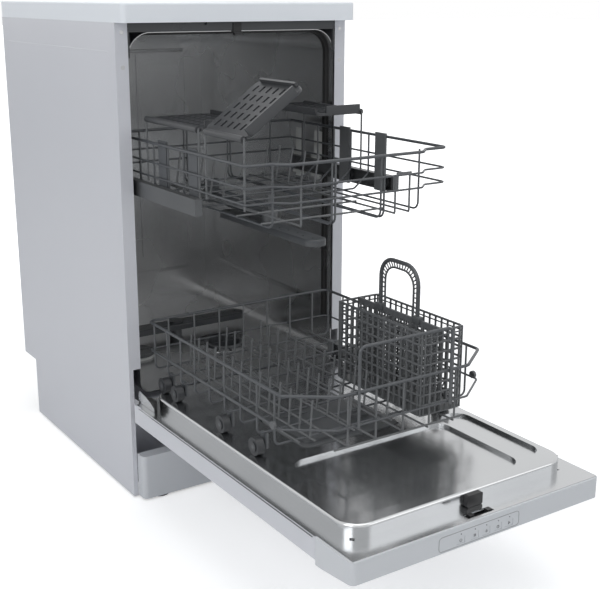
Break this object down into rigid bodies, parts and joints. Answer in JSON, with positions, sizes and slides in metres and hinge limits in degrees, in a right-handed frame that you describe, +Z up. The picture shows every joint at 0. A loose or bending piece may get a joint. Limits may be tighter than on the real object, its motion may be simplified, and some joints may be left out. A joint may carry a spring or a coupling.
{
  "type": "freestanding dishwasher",
  "caption": "Slimline freestanding dishwasher with its door lying open and both wire racks run out, with spray arms, cutlery basket, cup shelves and wheels.",
  "frame": {"origin": "centre of the footprint on the floor, door open", "axes": "+Z up, the door opens towards -Y, +X to the right seen from the front"},
  "size_m": [0.448, 1.1936, 0.85],
  "materials": {
    "white_enamel": "semi-gloss white enamel",
    "white_laminate": "white laminated board",
    "white_plastic": "moulded white plastic",
    "stainless": "rolled stainless sheet",
    "galvanised": "galvanised steel",
    "grey_wire": "grey nylon coated wire",
    "grey_plastic": "moulded grey plastic",
    "black_plastic": "black plastic",
    "black_rubber": "black rubber",
    "light_plastic": "natural plastic",
    "board_green": "circuit board",
    "cast_weight": "cast mineral counterweight"
  },
  "bodies": {
    "cabinet": {"worktop": "white_laminate", "side_panel_right": "white_enamel", "side_panel_left": "white_enamel", "rear_panel": "galvanised", "front_frame": "galvanised", "hinge_carriers": "galvanised", "tub": "stainless", "tub_gasket": "black_rubber", "latch_hook": "black_plastic", "base_tray": "black_plastic", "base_ballast": "cast_weight", "plinth": "white_plastic", "rear_feet": "black_plastic", "sump": "grey_plastic", "fine_filter": "stainless", "salt_container": "light_plastic", "wash_pump": "black_plastic", "drain_pump": "black_plastic", "feed_pipes": "grey_plastic", "air_break_tank": "light_plastic", "inlet_valve": "light_plastic", "drain_spigot": "grey_plastic", "power_inlet": "black_plastic", "rail_brackets": "light_plastic"},
    "door": {"door_outer_panel": "white_enamel", "console": "white_plastic", "control_board": "board_green", "door_liner": "stainless", "dispenser_body": "grey_plastic", "door_latch": "black_plastic", "hinge_arms": "galvanised", "door_seal_and_bumpers": "black_rubber"},
    "upper_rails": {"upper_rails": "galvanised"},
    "upper_rack": {"upper_rack": "grey_wire", "upper_feed": "grey_plastic"},
    "lower_rack": {"lower_rack": "grey_wire"},
    "lower_rack_carrier": {"rack_bumpers": "grey_plastic"},
    "foot_front_left": {"foot_front_left": "black_plastic"},
    "foot_front_right": {"foot_front_right": "black_plastic"},
    "coarse_filter": {"coarse_filter": "grey_plastic"},
    "salt_cap": {"salt_cap": "grey_plastic"},
    "lower_spray_arm": {"lower_spray_arm": "grey_plastic"},
    "button_power": {"button_power": "white_plastic"},
    "button_program": {"button_program": "white_plastic"},
    "button_half_load": {"button_half_load": "white_plastic"},
    "button_delay": {"button_delay": "white_plastic"},
    "button_start": {"button_start": "white_plastic"},
    "dispenser_lid": {"dispenser_lid": "grey_plastic"},
    "rinse_cap": {"rinse_cap": "grey_plastic"},
    "rack_rollers_front": {"rack_rollers_front": "grey_plastic"},
    "rack_rollers_rear": {"rack_rollers_rear": "grey_plastic"},
    "upper_spray_arm": {"upper_spray_arm": "grey_plastic"},
    "cup_shelf_right": {"cup_shelf_right": "grey_plastic"},
    "cup_shelf_left_front": {"cup_shelf_left_front": "grey_plastic"},
    "cup_shelf_left_rear": {"cup_shelf_left_rear": "grey_plastic"},
    "rack_wheels_1": {"rack_wheels_1": "grey_plastic"},
    "rack_wheels_2": {"rack_wheels_2": "grey_plastic"},
    "rack_wheels_3": {"rack_wheels_3": "grey_plastic"},
    "rack_wheels_4": {"rack_wheels_4": "grey_plastic"},
    "cutlery_basket": {"cutlery_basket": "grey_plastic"}
  },
  "joints": [
    {"name": "door_hinge", "type": "hinge", "parent": "cabinet", "child": "door", "pos_m": [0, 0.04175, 0.1755], "axis": [-1, 0, 0], "range_deg": [0, 90]},
    {"name": "lower_rack_run", "type": "slide", "parent": "door", "child": "lower_rack_carrier", "axis": [0, 1, 0], "range_m": [0, 0.3001]},
    {"name": "lower_rack_level", "type": "hinge", "parent": "lower_rack_carrier", "child": "lower_rack", "pos_m": [0, -0.35825, 0.2755], "axis": [-1, 0, 0], "range_deg": [-90.1, 0]},
    {"name": "upper_rail_run", "type": "slide", "parent": "cabinet", "child": "upper_rails", "axis": [0, 1, 0], "range_m": [0, 0.3781]},
    {"name": "upper_rack_slide", "type": "slide", "parent": "upper_rails", "child": "upper_rack", "axis": [0, -1, 0], "range_m": [-0.165, 0]},
    {"name": "upper_arm_spin", "type": "hinge", "parent": "upper_rack", "child": "upper_spray_arm", "pos_m": [0, -0.04925, 0.49], "axis": [0, 0, 1], "continuous": true},
    {"name": "lower_arm_spin", "type": "hinge", "parent": "cabinet", "child": "lower_spray_arm", "pos_m": [0, 0.31575, 0.208], "axis": [0, 0, 1], "continuous": true},
    {"name": "cup_shelf_right_tilt", "type": "hinge", "parent": "upper_rack", "child": "cup_shelf_right", "pos_m": [0.1798, 0.02675, 0.668], "axis": [0, 1, 0], "range_deg": [0, 78]},
    {"name": "cup_shelf_left_front_tilt", "type": "hinge", "parent": "upper_rack", "child": "cup_shelf_left_front", "pos_m": [-0.1798, -0.21525, 0.668], "axis": [0, -1, 0], "range_deg": [-35, 43]},
    {"name": "cup_shelf_left_rear_tilt", "type": "hinge", "parent": "upper_rack", "child": "cup_shelf_left_rear", "pos_m": [-0.1798, -0.04925, 0.668], "axis": [0, -1, 0], "range_deg": [0, 78]},
    {"name": "rack_roller_front_spin", "type": "hinge", "parent": "upper_rack", "child": "rack_rollers_front", "pos_m": [0, -0.11925, 0.553], "axis": [1, 0, 0], "continuous": true},
    {"name": "rack_roller_rear_spin", "type": "hinge", "parent": "upper_rack", "child": "rack_rollers_rear", "pos_m": [0, -0.01625, 0.553], "axis": [1, 0, 0], "continuous": true},
    {"name": "rack_wheel_1_spin", "type": "hinge", "parent": "lower_rack", "child": "rack_wheels_1", "pos_m": [0, -0.29725, 0.2191], "axis": [1, 0, 0], "continuous": true},
    {"name": "rack_wheel_2_spin", "type": "hinge", "parent": "lower_rack", "child": "rack_wheels_2", "pos_m": [0, -0.19725, 0.2191], "axis": [1, 0, 0], "continuous": true},
    {"name": "rack_wheel_3_spin", "type": "hinge", "parent": "lower_rack", "child": "rack_wheels_3", "pos_m": [0, -0.04325, 0.2191], "axis": [1, 0, 0], "continuous": true},
    {"name": "rack_wheel_4_spin", "type": "hinge", "parent": "lower_rack", "child": "rack_wheels_4", "pos_m": [0, 0.00275, 0.2191], "axis": [1, 0, 0], "continuous": true},
    {"name": "basket_lift", "type": "slide", "parent": "lower_rack", "child": "cutlery_basket", "axis": [0, 0, 1], "range_m": [0, 0.055]},
    {"name": "dispenser_lid_slide", "type": "slide", "parent": "door", "child": "dispenser_lid", "axis": [0, 1, 0], "range_m": [-0.09, 0]},
    {"name": "rinse_cap_turn", "type": "hinge", "parent": "door", "child": "rinse_cap", "pos_m": [0.038, -0.25425, 0.208], "axis": [0, 0, 1], "range_deg": [0, 90]},
    {"name": "coarse_filter_turn", "type": "hinge", "parent": "cabinet", "child": "coarse_filter", "pos_m": [0.058, 0.21875, 0.192], "axis": [0, 0, 1], "range_deg": [-90, 0]},
    {"name": "salt_cap_turn", "type": "hinge", "parent": "cabinet", "child": "salt_cap", "pos_m": [-0.122, 0.24075, 0.196], "axis": [0, 0, 1], "range_deg": [0, 360]},
    {"name": "power_press", "type": "slide", "parent": "door", "child": "button_power", "axis": [0, 1, 0], "range_m": [0, 0.0015], "stiffness_N_per_m": 600, "springref_m": -0.0005},
    {"name": "program_press", "type": "slide", "parent": "door", "child": "button_program", "axis": [0, 1, 0], "range_m": [0, 0.0015], "stiffness_N_per_m": 600, "springref_m": -0.0005},
    {"name": "half_load_press", "type": "slide", "parent": "door", "child": "button_half_load", "axis": [0, 1, 0], "range_m": [0, 0.0015], "stiffness_N_per_m": 600, "springref_m": -0.0005},
    {"name": "delay_press", "type": "slide", "parent": "door", "child": "button_delay", "axis": [0, 1, 0], "range_m": [0, 0.0015], "stiffness_N_per_m": 600, "springref_m": -0.0005},
    {"name": "start_press", "type": "slide", "parent": "door", "child": "button_start", "axis": [0, 1, 0], "range_m": [0, 0.0015], "stiffness_N_per_m": 600, "springref_m": -0.0005},
    {"name": "foot_left_turn", "type": "hinge", "parent": "cabinet", "child": "foot_front_left", "pos_m": [-0.176, 0.04675, 0.01], "axis": [0, 0, 1], "continuous": true},
    {"name": "foot_right_turn", "type": "hinge", "parent": "cabinet", "child": "foot_front_right", "pos_m": [0.176, 0.04675, 0.01], "axis": [0, 0, 1], "continuous": true}
  ],
  "couplings": [
    {"joint": "lower_rack_run", "follows": "door_hinge", "m_per_rad": 0.19099},
    {"joint": "lower_rack_level", "follows": "door_hinge", "ratio": -1},
    {"joint": "upper_rail_run", "follows": "door_hinge", "m_per_rad": 0.24064}
  ]
}
